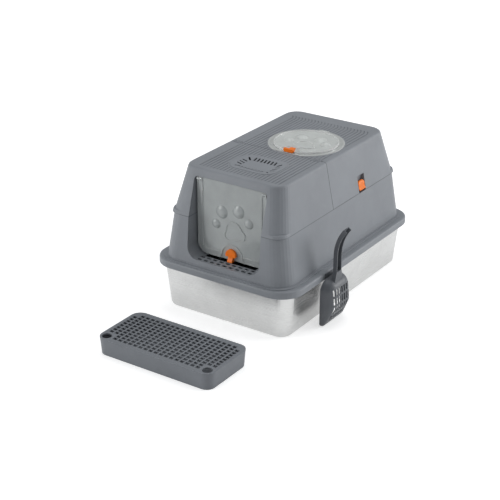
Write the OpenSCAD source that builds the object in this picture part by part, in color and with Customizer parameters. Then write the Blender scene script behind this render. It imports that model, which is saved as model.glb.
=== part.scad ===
// Enclosed litter box: steel pan, clip-on frame, split hood with a top hatch,
// a clear swing flap in front, a hung scoop and a loose litter step.
// Origin: middle of the pan's underside. The doorway faces -Y and +Z is up.

/* [Steel pan] */
// Distance from the flange's edge in to the pan's mouth, at the sides
mouth_in_w = 17.5; // [17:0.5:20]
// The same distance at the ends
mouth_in_l = 19; // [18:0.5:22]
// How far each side wall of the pan leans in at the floor
pan_draft_w = 11; // [8:0.5:14]
// How far each end wall of the pan leans in at the floor
pan_draft_l = 8; // [6:0.5:12]
// Height of the pan to the top of its rim
pan_h = 117; // [98:1:133]
// Thickness of the steel
pan_t = 1.2; // [0.8:0.1:2]
// Corner radius of the pan
pan_r = 31; // [30:1:36]
// Radius where the floor turns up into the wall
pan_foot_r = 6; // [4:0.5:8]
// Width of the flat rim round the mouth
rim_w = 9; // [6:0.5:9.5]
// Drop of the rolled edge below the rim
rim_roll = 4; // [2:0.5:6]

/* [Lower frame] */
// Width over the flange
flange_w = 401; // [398:1:410]
// Length over the flange
flange_l = 600; // [596:1:610]
// Height of the flange
flange_h = 17; // [14:1:20]
// Corner radius of the flange
flange_r = 60; // [50:1:63]
// How far the flange skirt hangs below the rim
flange_drop = 3; // [1:0.5:6]
// Rounding along the flange's top edge
flange_edge = 4; // [2:0.5:6]
// Height of the raised step inside the flange
flange_step_h = 2.5; // [1:0.5:4]
// Width of that step round the wall
flange_step_w = 8; // [5:0.5:10]
// Height of the frame wall, from the flange to the hood
frame_h = 118; // [105:1:130]
// Distance from the flange's edge in to the frame wall, at the sides
wall_in_w = 23; // [20:0.5:25]
// The same distance at the ends
wall_in_l = 14.5; // [13:0.5:16]
// Corner radius of the frame wall at the flange
wall_base_r = 45; // [40:1:50]
// Wall of the plastic frame and hood
wall_t = 2.6; // [2:0.1:3.2]
// Gap between the frame's lip and the inside of the pan
pan_gap = 0.6; // [0.3:0.1:1]
// How far the frame's lip reaches into the pan
lip_reach = 10; // [6:1:16]

/* [Hood] */
// How far each side wall of the frame leans in up to the seam
frame_draft_w = 16.5; // [14:0.5:19]
// How far each end wall of the frame leans in up to the seam
frame_draft_l = 11; // [8:0.5:13]
// Corner radius at the seam
seam_r = 42; // [36:1:46]
// Height of the hood
hood_h = 115; // [108:1:123]
// How far each side wall of the hood leans in up to its top
hood_draft_w = 23.5; // [20:0.5:26]
// How far each end wall of the hood leans in up to its top
hood_draft_l = 33; // [30:0.5:36]
// Corner radius of the hood's top
hood_top_r = 36; // [26:1:38]
// Rounding along the hood's top edge
hood_edge = 5.5; // [5:0.5:8]
// Corner radius of the hood's bottom band
band_r = 30; // [26:1:34]
// Height of the hood's bottom band
band_h = 8; // [5:0.5:12]
// Place of the seam that splits the hood, from the middle
split_y = -45; // [-52:1:-42]
// Gap at the split and under the lifting half
split_gap = 0.6; // [0.4:0.1:1]
// Pitch of the grooves along the hood's top
groove_pitch = 9.6; // [8:0.1:12]
// Width of a groove
groove_w = 3.4; // [2.5:0.1:4]
// Depth of a groove
groove_depth = 0.8; // [0.4:0.1:1]
// Margin without grooves at the left side
groove_left = 37; // [30:1:45]
// Margin without grooves at the right side
groove_right = 15; // [10:1:20]
// Margin without grooves at the front
groove_front = 17; // [12:1:24]
// Margin without grooves at the rear
groove_rear = 45; // [36:1:50]
// How far the grooves swing aside at their rear ends
groove_swing = 8; // [0:1:10]
// Length over which they swing
groove_turn = 22; // [16:1:30]

/* [Hood hinge] */
// Radius of the hinge barrels on top of the hood
barrel_r = 3.5; // [3:0.1:4.5]
// Distance from each side of the hood's top in to the hinge's middle
barrel_in = 23.5; // [22.5:0.5:29]
// Length of the middle barrel
barrel_l = 9.2; // [7:0.1:11]
// Length of each outer barrel
ear_l = 6; // [4:0.5:7]
// Diameter of the hinge pins
hood_pin_d = 3; // [2.4:0.1:3.4]
// Clearance round a pin, on the radius
pin_gap = 0.05; // [0.02:0.01:0.1]
// Running gap between moving plastic faces
run_gap = 0.4; // [0.3:0.1:0.6]

/* [Side latches] */
// Place of the side latches, back from the middle
latch_y = 95; // [85:1:110]
// Width of the latch tab
tab_w = 28; // [22:1:32]
// Height from the tab's pivot to its lower lip
tab_h = 20; // [18:1:24]
// Height of the lip's edge above the hood's bottom
tab_up = 4.5; // [3:0.5:6]
// Radius of the tab's upper corners
tab_r = 8; // [5:0.5:9]
// Thickness of the tab
tab_t = 3.6; // [3:0.1:4.2]
// How far the tab's lip flares out
tab_flare = 9; // [6:0.5:10]
// Room beside the tab in its pocket
tab_side_gap = 2; // [1.5:0.5:3]
// Depth of the pocket at the seam
pocket_in = 15; // [13.5:0.5:15.5]
// Height of the pocket in the hood
pocket_h = 42; // [38:1:46]
// Diameter of the tab's pin
tab_pin_d = 2.4; // [2:0.1:2.8]
// Width of the catch that stands in the pocket
catch_w = 10; // [8:1:12]
// Height of the catch above the seam, and the depth of its root below it
catch_h = 12; // [8:1:13]
// Thickness of the catch
catch_t = 2; // [1.6:0.1:2.4]

/* [Doorway] */
// Distance from the hood's left side to the doorway, at the seam
door_left = 61.5; // [57:0.5:66]
// Distance from the doorway to the hood's right side, at the seam
door_right = 55.5; // [52:0.5:61]
// Height of the doorway's sill above the flange
door_sill_h = 16.5; // [14:0.5:20]
// Distance from the hood's top down to the doorway
door_head = 18.5; // [17:0.5:30]
// Radius of the doorway's lower corners
door_r = 30; // [22:1:36]
// Radius of the doorway's upper corners
door_top_r = 9; // [8:1:14]
// Depth of the flap's hinge line behind the hood's front
hinge_depth = 7; // [6.5:0.5:10]
// How far the door tunnel reaches past the hinge line
tunnel_reach = 7; // [6:0.5:12]
// Length of the slot between the sill and the flap
sill_gap_l = 11; // [9:0.5:13]
// Pitch of the drain holes in the sill, across
drain_pitch = 18; // [16:0.5:20]
// Length of a drain hole
drain_l = 13; // [10:0.5:14]
// Width of a drain hole
drain_w = 8.5; // [6:0.5:9]
// Pitch between the two rows of drain holes
drain_row_pitch = 14; // [13:0.5:14.5]

/* [Front flap] */
// Thickness of the clear flaps
flap_t = 2.4; // [2:0.1:3]
// Gap between the flap and the doorway at each side
flap_side_gap = 5; // [3:0.5:7]
// Gap between the flap and the sill
flap_sill_gap = 3.5; // [3:0.5:6]
// Height of the flap above its hinge line
flap_head = 5; // [4.5:0.5:6]
// Gap between the hinge line and the doorway's top
hinge_drop = 7; // [6.5:0.5:9]
// Radius of the flap's lower corners
flap_r = 27; // [22:1:34]
// Radius of the flap's upper corners
flap_top_r = 5; // [4:0.5:8]
// Diameter of the flap's hinge pins
flap_pin_d = 4; // [3:0.1:5]
// Outer diameter of the flap's hinge bosses
flap_boss_d = 9; // [8:0.5:10]
// Length of each hinge boss
flap_boss_l = 11; // [8:1:14]
// Height of the raised bead and the embossed paw
emboss = 2.2; // [1.5:0.1:2.6]
// Width of the raised bead
bead_w = 3; // [2:0.5:4]
// Distance of the inner bead from the flap's edge
bead_inset = 12; // [11.5:0.5:14]
// Radius of the arch in the bead, round a slide latch
arch_r = 31; // [28:0.5:32]
// Width of the embossed paw's pad, as a share of the flap's width
paw_share = 0.318; // [0.25:0.01:0.34]
// Height of the paw's domed toes
toe_h = 6; // [3:0.5:7]
// Tilt of the paw
paw_tilt = 12; // [-15:1:15]
// Height of the paw's pad above the sill
paw_up = 77; // [70:1:90]
// Place of the paw's pad on the flap, across
paw_x = 6; // [-10:1:10]

/* [Slide latches] */
// Width of a slide latch
slide_w = 29; // [26:1:30]
// Thickness of a slide latch
slide_t = 6; // [4:0.5:6.5]
// Height of the lip below the flap latch's round head
slide_lip = 5; // [4:0.5:6]
// Width of the flap latch's tail
slide_tail_w = 13; // [10:1:16]
// Length of the flap latch's tail
slide_tail_l = 17; // [14:0.5:18]
// Thickness of the tail at its end
slide_tail_t = 11; // [8:0.5:11.5]
// Gap between the tail and the sill
slide_sill_gap = 1.2; // [1:0.1:2]
// Width of the neck that runs in the panel's slot
slide_neck_w = 8; // [6:0.5:9]
// Length of that neck
slide_neck_l = 6; // [5:0.5:6]
// Width of the plate that holds the latch from behind
slide_back_w = 14; // [12:1:16]
// Length of that plate
slide_back_l = 12; // [11:0.5:13]
// Thickness of that plate
slide_back_t = 2; // [1.5:0.1:2.4]
// Travel of the flap latch
slide_travel = 5; // [4:0.5:5]
// Length of the hatch latch, front to back
bar_l = 8; // [7:0.5:9]
// How far the hatch latch reaches in front of the disc
bar_reach = 2.5; // [2:0.1:2.6]
// Height of the hatch latch
bar_t = 5; // [4:0.5:5]
// Distance of the hatch latch's neck from the disc's front edge
bar_neck = 11.5; // [11:0.5:13]
// Travel of the hatch latch
bar_travel = 4; // [3:0.5:4]

/* [Top hatch] */
// Distance from the left side of the hood's top to the hatch's collar
hatch_left = 71; // [60:1:74]
// Distance from the collar to the right side of the hood's top
hatch_right = 15; // [12:1:20]
// Distance from the split to the hatch disc
hatch_front = 6.5; // [6:0.5:9]
// Width of the collar outside the disc
collar_w = 14; // [12:0.5:16]
// Width of the collar's ledge under the disc
collar_ledge = 6.5; // [5.5:0.5:6.5]
// Height of the collar's outer edge
collar_h = 2.2; // [1.5:0.1:2.4]
// Thickness of the collar where the disc rests
collar_t = 1; // [0.8:0.1:1.2]
// Wall of the collar's sleeve
sleeve_t = 2; // [1.6:0.1:2.4]
// Depth of the collar's sleeve below the hood's top
sleeve_h = 11; // [8:0.5:14]
// Radius of the hatch hinge barrels
hatch_barrel_r = 3; // [2.6:0.1:3.2]
// Diameter of the hatch hinge pin
hatch_pin_d = 2.4; // [2:0.1:2.6]
// Length of the disc's hinge barrel
hatch_barrel_l = 14; // [10:1:18]
// Length of each hinge lug on the collar
hatch_lug_l = 6; // [4:0.5:8]
// Width of the paw's pad on the disc, as a share of the disc's radius
hatch_paw_share = 0.77; // [0.6:0.01:0.8]
// Place of that pad across from the disc's middle, as a share of the radius
hatch_paw_x_share = 0.112; // [-0.12:0.01:0.12]
// Place of that pad forward of the disc's middle, as a share of the radius
hatch_paw_y_share = 0.298; // [0.25:0.01:0.3]

/* [Vent] */
// Middle of the vent, across
vent_x = 14; // [8:1:18]
// Distance from the front of the hood's top to the vent's middle
vent_in = 93.5; // [90:0.5:95]
// Width of the vent cover
vent_w = 126; // [125:1:130]
// Length of the vent cover
vent_l = 94; // [93:1:98]
// Corner radius of the vent cover
vent_r = 30; // [29:1:34]
// Thickness of the vent cover
vent_t = 2; // [1.6:0.1:2.4]
// Depth of the pocket that the vent cover lies in
vent_sink = 1.2; // [0.8:0.1:1.4]
// Width of the ledge that carries the vent cover
vent_ledge = 8.5; // [8:0.5:8.5]
// Depth of the dish in the middle of the vent cover
vent_dish = 3.6; // [2:0.1:3.8]
// Width over the ring of slots
slot_ring_w = 106; // [98:1:107]
// Length over the ring of slots
slot_ring_l = 74; // [70:1:75]
// Corner radius of that ring
slot_ring_r = 20; // [19:0.5:22]
// Length of a vent slot
slot_l = 14; // [12:0.5:15]
// Width of a vent slot
slot_w = 4.6; // [3.5:0.1:5]
// Slots along each long side of the vent
slot_side_count = 7; // [3:1:7]
// Slots along each end of the vent
slot_end_count = 3; // [1:1:3]
// Height of the filter tray
filter_tray_h = 14; // [13:1:18]
// Wall of the filter tray
filter_tray_t = 1.8; // [1.5:0.1:2.2]
// Thickness of the charcoal filter
filter_t = 9; // [7:0.5:10]
// Room round the charcoal filter
filter_gap = 1; // [0.5:0.1:2]

/* [Scoop] */
// Middle of the scoop, forward of the middle
scoop_y = 124; // [118:1:130]
// Width of the scoop's bowl
scoop_w = 100; // [96:1:108]
// Length of the scoop's bowl
scoop_l = 118; // [112:1:122]
// Depth of the scoop's bowl
scoop_d = 33; // [32:1:36]
// Wall of the scoop
scoop_t = 2.2; // [1.8:0.1:2.6]
// Gap between the scoop's edge and the floor
scoop_lift = 2; // [1:1:5]
// Distance of the scoop's open side from the flange
scoop_stand = 5; // [4.5:0.5:6]
// Radius of the bowl's shoulders
shoulder_r = 30; // [27:1:31]
// Radius of the bowl's belly
belly_r = 26; // [22:1:28]
// Radius of the bowl's tip
tip_r = 10; // [6:1:10]
// Width of the scoop's handle
handle_w = 22; // [18:1:26]
// Depth of the scoop's handle
handle_d = 10; // [8:0.5:12]
// Height of the flared root of the handle
handle_root = 16; // [10:1:20]
// Length of the straight part of the handle
handle_straight = 55; // [45:1:65]
// Radius that the handle curves out on
handle_bend_r = 115; // [100:1:130]
// Angle that the handle curves through
handle_bend = 38; // [30:1:42]
// Width of a slot in the scoop
sift_w = 6; // [4.5:0.5:6.5]
// Pitch of the slots in the scoop
sift_pitch = 10.5; // [9.5:0.5:11]
// Slots in each row
sift_count = 7; // [3:2:7]
// Thickness of the scoop's bracket
bracket_t = 2.6; // [2.2:0.1:3]
// Width of the scoop's bracket
bracket_w = 38; // [32:1:44]
// Height of the bracket's two hooks, where they pass the flange
prong_h = 3; // [2.5:0.5:3.5]
// Height of the hook at the scoop's rim
rim_hook = 4; // [3:0.5:5]

/* [Litter step] */
// Width of the step
step_w = 320; // [300:1:330]
// Length of the step, front to back
step_l = 157; // [150:1:165]
// Height of the step
step_h = 42; // [34:1:48]
// Corner radius of the step
step_r = 25; // [20:1:30]
// Middle of the step, across
step_x = 6; // [-10:1:10]
// Distance from the flange to the step
step_away = 107.5; // [102:0.5:120]
// How much the step narrows toward the floor, each side
step_draft = 3.5; // [1:0.5:5]
// Wall of the step's tray
step_t = 2.4; // [2:0.1:3]
// Thickness of the grille on the step
grille_t = 3; // [2.5:0.1:4]
// Diameter of the finger holes in the grille
finger_d = 24; // [20:1:26]
// Distance of a finger hole's middle from the step's edges
finger_inset = 19; // [18:0.5:22]
// Pitch of the grille's holes, across
cell_pitch_x = 14.5; // [13:0.1:16]
// Pitch of the grille's holes, front to back
cell_pitch_y = 12; // [11:0.1:13]
// Bar between two holes, across
grille_bar_x = 4; // [3:0.1:5]
// Bar between two holes, front to back
grille_bar_y = 3; // [2:0.1:4]

/* [Hidden] */

// Facets of the round corners inside hulls, and of true round parts
hull_fn = 32;
round_fn = 96;
// Slice thickness in hulls, overrun of cuts, and the gap at a seated face
film = 0.01;
overrun = 1;
seat_gap = 0.3;

grey = [0.37, 0.40, 0.44];
dark_grey = [0.20, 0.21, 0.23];
steel = [0.78, 0.79, 0.80];
orange = [0.95, 0.40, 0.05];
clear = [0.85, 0.88, 0.88, 0.5];
charcoal = [0.08, 0.08, 0.08];

// Levels
flange_z = pan_h - flange_drop;
flange_top = flange_z + flange_h;
seam_z = flange_top + frame_h;
top_z = seam_z + hood_h;

// Outlines, all from the flange inward
pan_mouth_w = flange_w - 2 * mouth_in_w;
pan_mouth_l = flange_l - 2 * mouth_in_l;
pan_floor_w = pan_mouth_w - 2 * pan_draft_w;
pan_floor_l = pan_mouth_l - 2 * pan_draft_l;
wall_base_w = flange_w - 2 * wall_in_w;
wall_base_l = flange_l - 2 * wall_in_l;
seam_w = wall_base_w - 2 * frame_draft_w;
seam_l = wall_base_l - 2 * frame_draft_l;
hood_top_w = seam_w - 2 * hood_draft_w;
hood_top_l = seam_l - 2 * hood_draft_l;
barrel_x = hood_top_w / 2 - barrel_in;
pocket_x = seam_w / 2 - pocket_in;

// Doorway and flap places
door_w = seam_w - door_left - door_right;
door_x = (door_left - door_right) / 2;
sill_z = flange_top + door_sill_h;
door_top = top_z - door_head;
drain_count = floor((door_w - 2 * door_r) / drain_pitch) + 1;
flap_z = door_top - hinge_drop;
flap_y = hood_at(seam_l, hood_top_l, flap_z) / 2 - hinge_depth;
flap_w = door_w - 2 * flap_side_gap;
flap_bottom = sill_z + flap_sill_gap;
flap_top = flap_z + flap_head;
flap_face = -flap_y - flap_t / 2;
tunnel_back = tunnel_reach - flap_y;
sill_back = -flap_y - sill_gap_l;

paw_w = flap_w * paw_share;
flap_latch_z = sill_z + slide_sill_gap + slide_tail_l;

// Hatch sizes and places
collar_r = (hood_top_w - hatch_left - hatch_right) / 2;
hatch_r = collar_r - collar_w;
collar_bore_r = hatch_r - collar_ledge;
hatch_x = (hatch_left - hatch_right) / 2;
hatch_y = split_y + hatch_front + hatch_r;
disc_z = top_z + collar_t + seat_gap;
disc_top = disc_z + flap_t;
hinge_y = hatch_y + hatch_r + hatch_barrel_r + seat_gap;
hinge_z = disc_z + hatch_barrel_r;

// Side latch places
tab_pivot_x = pocket_x + catch_t + tab_t;
catch_x = tab_pivot_x - catch_t - 2 * run_gap;
tab_pivot_z = seam_z + tab_up + tab_h;

// Vent places
vent_y = hood_top_l / 2 - vent_in;
vent_hole_r = vent_r - vent_ledge;
vent_hole_w = vent_w - 2 * vent_ledge;
vent_hole_l = vent_l - 2 * vent_ledge;
filter_tray_top = top_z - wall_t;
filter_tray_z = filter_tray_top - filter_tray_h;

// Scoop places
scoop_x = flange_w / 2 + scoop_stand;
scoop_top = scoop_lift + scoop_l;
handle_x = scoop_x + scoop_d / 2;
handle_turn_z = scoop_top + handle_straight;
hook_x = flange_w / 2 + seat_gap;
prong_z = flange_top - flange_edge - prong_h;

// Step places
step_y = flange_l / 2 + step_away + step_l / 2;
grille_z = step_h - grille_t;

// Sizes along the slanted walls of pan, frame and hood
function ramp(low, high, share) = low + (high - low) * share;
function pan_at(floor_size, mouth_size, z) = ramp(floor_size, mouth_size, z / pan_h);
function frame_at(base, seam, z) = ramp(base, seam, (z - flange_top) / frame_h);
function hood_at(seam, top, z) = ramp(seam, top, (z - seam_z) / hood_h);

// Rounded rectangle about the origin
module rounded(w, l, r) {
    square([w - 2 * r, l], center = true);
    square([w, l - 2 * r], center = true);
    for (sx = [-1, 1], sy = [-1, 1])
        translate([sx * (w / 2 - r), sy * (l / 2 - r)])
            circle(r = r);
}

module ring(w, l, r, t) {
    difference() {
        rounded(w, l, r);
        rounded(w - 2 * t, l - 2 * t, r - t);
    }
}

// The same outline as the points of one polygon, for the slices that hulls join
function outline_points(w, l, r) = [
    for (q = [0 : 3], i = [0 : hull_fn / 4])
        let (a = 90 * q + 360 * i / hull_fn)
            [(w / 2 - r) * sign(cos(90 * q + 45)) + r * cos(a),
                (l / 2 - r) * sign(sin(90 * q + 45)) + r * sin(a)]
];

module slice(w, l, r, z) {
    translate([0, 0, z])
        linear_extrude(film)
            polygon(outline_points(w, l, r));
}

// A rod along X, from x0 to x1
module rod_x(d, x0, x1) {
    translate([x0, 0, 0])
        rotate([0, 90, 0])
            cylinder(d = d, h = x1 - x0, $fn = round_fn);
}

// A rod along Y, from y0 to y1
module rod_y(d, y0, y1) {
    translate([0, y1, 0])
        rotate([90, 0, 0])
            cylinder(d = d, h = y1 - y0, $fn = round_fn);
}

// A flat shape stood up in the XZ plane, from y0 to y1
module stand(y0, y1) {
    translate([0, y1, 0])
        rotate([90, 0, 0])
            linear_extrude(y1 - y0)
                children();
}

// A flat shape stood up in the YZ plane, from x0 to x1
module stand_x(x0, x1) {
    translate([x0, 0, 0])
        rotate([90, 0, 90])
            linear_extrude(x1 - x0)
                children();
}

// Upright panel with its own lower and upper corner radii
module panel(x, w, low, high, r_low, r_high) {
    translate([x - w / 2, low + r_low])
        square([w, high - low - r_low - r_high]);
    translate([x - w / 2 + r_low, low])
        square([w - 2 * r_low, high - low - r_high]);
    translate([x - w / 2 + r_high, high - r_low - r_high])
        square([w - 2 * r_high, r_low + r_high]);
    for (s = [-1, 1]) {
        translate([x + s * (w / 2 - r_low), low + r_low])
            circle(r = r_low, $fn = round_fn);
        translate([x + s * (w / 2 - r_high), high - r_high])
            circle(r = r_high, $fn = round_fn);
    }
}

// Steel pan
module pan_slice(inset, z, extra) {
    w = pan_at(pan_floor_w, pan_mouth_w, z) - 2 * (inset + extra);
    l = pan_at(pan_floor_l, pan_mouth_l, z) - 2 * (inset + extra);
    slice(w, l, pan_r - inset - extra, z);
}

module pan_form(inset, low, high) {
    rf = pan_foot_r - inset;
    hull() {
        for (a = [0 : 30 : 90])
            pan_slice(inset, low + rf * (1 - sin(a)), rf * (1 - cos(a)));
        pan_slice(inset, high - film, 0);
    }
}

module steel_pan() {
    rim_out_w = pan_mouth_w + 2 * rim_w;
    rim_out_l = pan_mouth_l + 2 * rim_w;
    color(steel)
        difference() {
            union() {
                pan_form(0, 0, pan_h - pan_t / 2);
                translate([0, 0, pan_h - pan_t])
                    linear_extrude(pan_t)
                        rounded(rim_out_w, rim_out_l, pan_r + rim_w, $fn = round_fn);
                translate([0, 0, pan_h - rim_roll])
                    linear_extrude(rim_roll)
                        ring(rim_out_w, rim_out_l, pan_r + rim_w, pan_t, $fn = round_fn);
            }
            pan_form(pan_t, pan_t, pan_h + overrun);
        }
}

// Frame and hood forms
module frame_slice(z, inset) {
    slice(frame_at(wall_base_w, seam_w, z) - 2 * inset, frame_at(wall_base_l, seam_l, z) - 2 * inset,
        frame_at(wall_base_r, seam_r, z) - inset, z);
}

module frame_form(inset, low, high) {
    hull() {
        frame_slice(low, inset);
        frame_slice(high - film, inset);
    }
}

module hood_slice(z, inset, r_seam, r_top) {
    slice(hood_at(seam_w, hood_top_w, z) - 2 * inset, hood_at(seam_l, hood_top_l, z) - 2 * inset,
        hood_at(r_seam, r_top, z) - inset, z);
}

module hood_form(inset, low) {
    rf = hood_edge - inset;
    hull() {
        hood_slice(low, inset, seam_r, hood_top_r);
        for (a = [0 : 15 : 90])
            hood_slice(top_z - inset - rf * (1 - sin(a)) - film, inset + rf * (1 - cos(a)), seam_r,
                hood_top_r);
    }
}

// Band at the hood's bottom edge, with tighter corners than the wall above it
module band_form(low) {
    hull() {
        hood_slice(low, 0, band_r, band_r);
        hood_slice(low + band_h * 0.8, 0, band_r, band_r);
        hood_slice(low + band_h, band_h * 0.1, band_r, band_r);
    }
}

// Doorway outline, grown by the tunnel's wall or cut at its own size
module doorway(grow) {
    panel(door_x, door_w + 2 * grow, sill_z - grow, door_top + grow, door_r + grow, door_top_r + grow);
}

// Lower frame
module flange() {
    lip_z = pan_h - lip_reach;
    lip_w = pan_at(pan_floor_w, pan_mouth_w, lip_z) - 2 * (pan_t + pan_gap);
    lip_l = pan_at(pan_floor_l, pan_mouth_l, lip_z) - 2 * (pan_t + pan_gap);
    lip_r = pan_r - pan_t - pan_gap;
    open_w = wall_base_w - 2 * wall_t;
    open_l = lip_l - 2 * wall_t;
    edge = flange_edge;
    difference() {
        union() {
            hull() {
                slice(flange_w, flange_l, flange_r, flange_z);
                slice(flange_w, flange_l, flange_r, flange_top - edge);
                slice(flange_w - edge * 0.6, flange_l - edge * 0.6, flange_r - edge * 0.3,
                    flange_top - edge * 0.3);
                slice(flange_w - 2 * edge, flange_l - 2 * edge, flange_r - edge, flange_top - film);
            }
            translate([0, 0, flange_top - wall_t])
                linear_extrude(flange_step_h + wall_t)
                    rounded(wall_base_w + 2 * flange_step_w, wall_base_l + 2 * flange_step_w,
                        wall_base_r + flange_step_w, $fn = round_fn);
        }
        translate([0, 0, flange_z - overrun])
            linear_extrude(flange_h - wall_t + overrun)
                rounded(flange_w - 2 * wall_t, flange_l - 2 * wall_t, flange_r - wall_t, $fn = round_fn);
        translate([0, 0, flange_z])
            linear_extrude(flange_h + flange_step_h + overrun)
                rounded(open_w, open_l, wall_base_r - wall_t, $fn = round_fn);
    }
    translate([0, 0, lip_z])
        linear_extrude(flange_top - lip_z - wall_t / 2)
            ring(lip_w, lip_l, lip_r, wall_t, $fn = round_fn);
    translate([0, 0, pan_h + seat_gap])
        linear_extrude(flange_top - pan_h - seat_gap - wall_t / 2)
            ring(pan_mouth_w + rim_w, pan_mouth_l + rim_w, pan_r + rim_w / 2, wall_t, $fn = round_fn);
}

// Catches of the side latches: a tongue that stands in each pocket of the hood
module catch_tongues() {
    y = latch_y + tab_w / 2 - catch_w - run_gap;
    for (s = [-1, 1])
        translate([s > 0 ? catch_x : -catch_x - catch_t, y, seam_z - catch_h])
            cube([catch_t, catch_w, 2 * catch_h]);
}

// Blocks that tie those tongues to the frame's wall
module catch_roots() {
    y = latch_y + tab_w / 2 - catch_w - run_gap;
    for (s = [-1, 1])
        translate([s > 0 ? catch_x : -wall_base_w / 2, y, seam_z - catch_h])
            cube([wall_base_w / 2 - catch_x, catch_w, catch_h - split_gap]);
}

// Slot in the sill, between its rear edge and the flap
module sill_slot() {
    w = door_w - 2 * door_r;
    translate([door_x - w / 2, sill_back, sill_z - wall_t - overrun])
        cube([w, tunnel_back - sill_back + overrun, wall_t + 2 * overrun]);
}

module drain_holes() {
    for (i = [0 : drain_count - 1], j = [0, 1])
        translate([door_x + (i - (drain_count - 1) / 2) * drain_pitch,
            sill_back - drain_w * 0.75 - j * drain_row_pitch, sill_z - wall_t - overrun])
            linear_extrude(wall_t + 2 * overrun)
                drain_hole();
}

module drain_hole() {
    half = (drain_l - drain_w) / 2;
    square([2 * half, drain_w], center = true);
    for (s = [-1, 1])
        translate([s * half, 0])
            circle(d = drain_w, $fn = hull_fn);
}

// The bracket's two hooks through the flange's side, or their slots where they are grown
module prongs(grow) {
    w = bracket_w / 4;
    x = flange_w / 2 - wall_t - seat_gap - overrun;
    for (s = [-1, 1])
        translate([x, -scoop_y + s * 1.5 * w - w / 2 - grow, prong_z - grow])
            cube([wall_t + 2 * seat_gap + 2 * overrun, w + 2 * grow, prong_h + 2 * grow]);
}

module lower_frame() {
    front = -flange_l / 2;
    color(grey)
        difference() {
            union() {
                flange();
                difference() {
                    frame_form(0, flange_top, seam_z);
                    frame_form(wall_t, flange_top - overrun, seam_z + overrun);
                }
                intersection() {
                    frame_form(0, flange_top, seam_z);
                    stand(front, tunnel_back)
                        doorway(wall_t);
                }
                catch_tongues();
                intersection() {
                    frame_form(wall_t / 2, flange_top, seam_z);
                    catch_roots();
                }
            }
            stand(front, tunnel_back + overrun)
                doorway(0);
            sill_slot();
            drain_holes();
            prongs(seat_gap);
        }
}

// Barrels of the hood's hinge on side s, between two distances from its middle
module hood_barrels(s, near, far) {
    translate([s * barrel_x, split_y, top_z])
        for (t = [-1, 1])
            rod_x(2 * barrel_r, t > 0 ? near : -far, t > 0 ? far : -near);
}

// Room round the other half's barrel
module barrel_room(x, half) {
    translate([x - half, split_y - barrel_r - run_gap, top_z - hood_edge])
        cube([2 * half, 2 * (barrel_r + run_gap), 2 * hood_edge]);
}

module hood_pin_bores() {
    half = barrel_l / 2 + run_gap + ear_l + overrun;
    for (s = [-1, 1])
        translate([s * barrel_x, split_y, top_z])
            rod_x(hood_pin_d + 2 * pin_gap, -half, half);
}

module flap_pin_bores() {
    translate([door_x, -flap_y, flap_z])
        for (s = [-1, 1])
            translate([s * door_w / 2, 0, 0])
                rod_x(flap_pin_d + 2 * pin_gap, -wall_t - overrun, wall_t + overrun);
}

module vent_opening() {
    translate([vent_x, -vent_y, top_z - vent_sink])
        linear_extrude(vent_sink + overrun)
            rounded(vent_w + 2 * seat_gap, vent_l + 2 * seat_gap, vent_r + seat_gap, $fn = round_fn);
    translate([vent_x, -vent_y, top_z - wall_t - overrun])
        linear_extrude(wall_t + 2 * overrun)
            rounded(vent_hole_w, vent_hole_l, vent_hole_r, $fn = round_fn);
}

// Grooves along the hood's top, left out round the vent, the hatch and the hinges
module top_grooves() {
    left = groove_left - hood_top_w / 2;
    right = hood_top_w / 2 - groove_right;
    half = barrel_l / 2 + run_gap + ear_l + groove_w;
    translate([0, 0, top_z - groove_depth])
        linear_extrude(groove_depth + overrun)
            difference() {
                for (x = [left : groove_pitch : right])
                    translate([x, 0])
                        groove_line();
                translate([vent_x, -vent_y])
                    rounded(vent_w + 3 * groove_w, vent_l + 3 * groove_w, vent_r + 1.5 * groove_w,
                        $fn = round_fn);
                translate([hatch_x, hatch_y])
                    circle(r = collar_r + groove_w, $fn = round_fn);
                for (s = [-1, 1])
                    translate([s * barrel_x, split_y])
                        square([2 * half, 4 * barrel_r], center = true);
            }
}

// One groove seen from above, straight and then swung aside at its rear end
module groove_line() {
    y0 = groove_front - hood_top_l / 2;
    y1 = hood_top_l / 2 - groove_rear;
    steps = [0 : 0.25 : 1];
    polygon(concat(
        [[groove_w / 2, y0]],
        [for (u = steps) [groove_w / 2 - groove_swing * u * u, y1 + groove_turn * (u - 1)]],
        [for (u = steps) [-groove_w / 2 - groove_swing * (1 - u) * (1 - u), y1 - groove_turn * u]],
        [[-groove_w / 2, y0]]));
}

// Front half of the hood
module front_hood() {
    front = -flange_l / 2;
    near = barrel_l / 2 + run_gap;
    color(grey)
        difference() {
            union() {
                difference() {
                    union() {
                        hood_form(0, seam_z);
                        band_form(seam_z);
                    }
                    hood_form(wall_t, seam_z - overrun);
                    translate([-seam_w, split_y - split_gap / 2, seam_z - overrun])
                        cube([2 * seam_w, seam_l, 2 * hood_h]);
                    for (s = [-1, 1])
                        barrel_room(s * barrel_x, near);
                }
                intersection() {
                    hood_form(0, seam_z);
                    stand(front, tunnel_back)
                        doorway(wall_t);
                }
                for (s = [-1, 1])
                    hood_barrels(s, near, near + ear_l);
            }
            stand(front, tunnel_back + overrun)
                doorway(0);
            vent_opening();
            top_grooves();
            hood_pin_bores();
            flap_pin_bores();
        }
}

// Box that holds the side latch on side s, and the room inside it
module latch_tub(s) {
    w = tab_w + 2 * tab_side_gap + 2 * wall_t;
    translate([s > 0 ? pocket_x - wall_t : -seam_w, latch_y - w / 2, seam_z])
        cube([seam_w - pocket_x + wall_t, w, pocket_h + wall_t]);
}

module latch_room(s) {
    w = tab_w + 2 * tab_side_gap;
    translate([s > 0 ? pocket_x : -seam_w, latch_y - w / 2, seam_z - overrun])
        cube([seam_w - pocket_x, w, pocket_h + overrun]);
}

module tab_pin_form(d, half) {
    for (s = [-1, 1])
        translate([s * tab_pivot_x, latch_y, tab_pivot_z])
            rod_y(d, -half, half);
}

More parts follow.
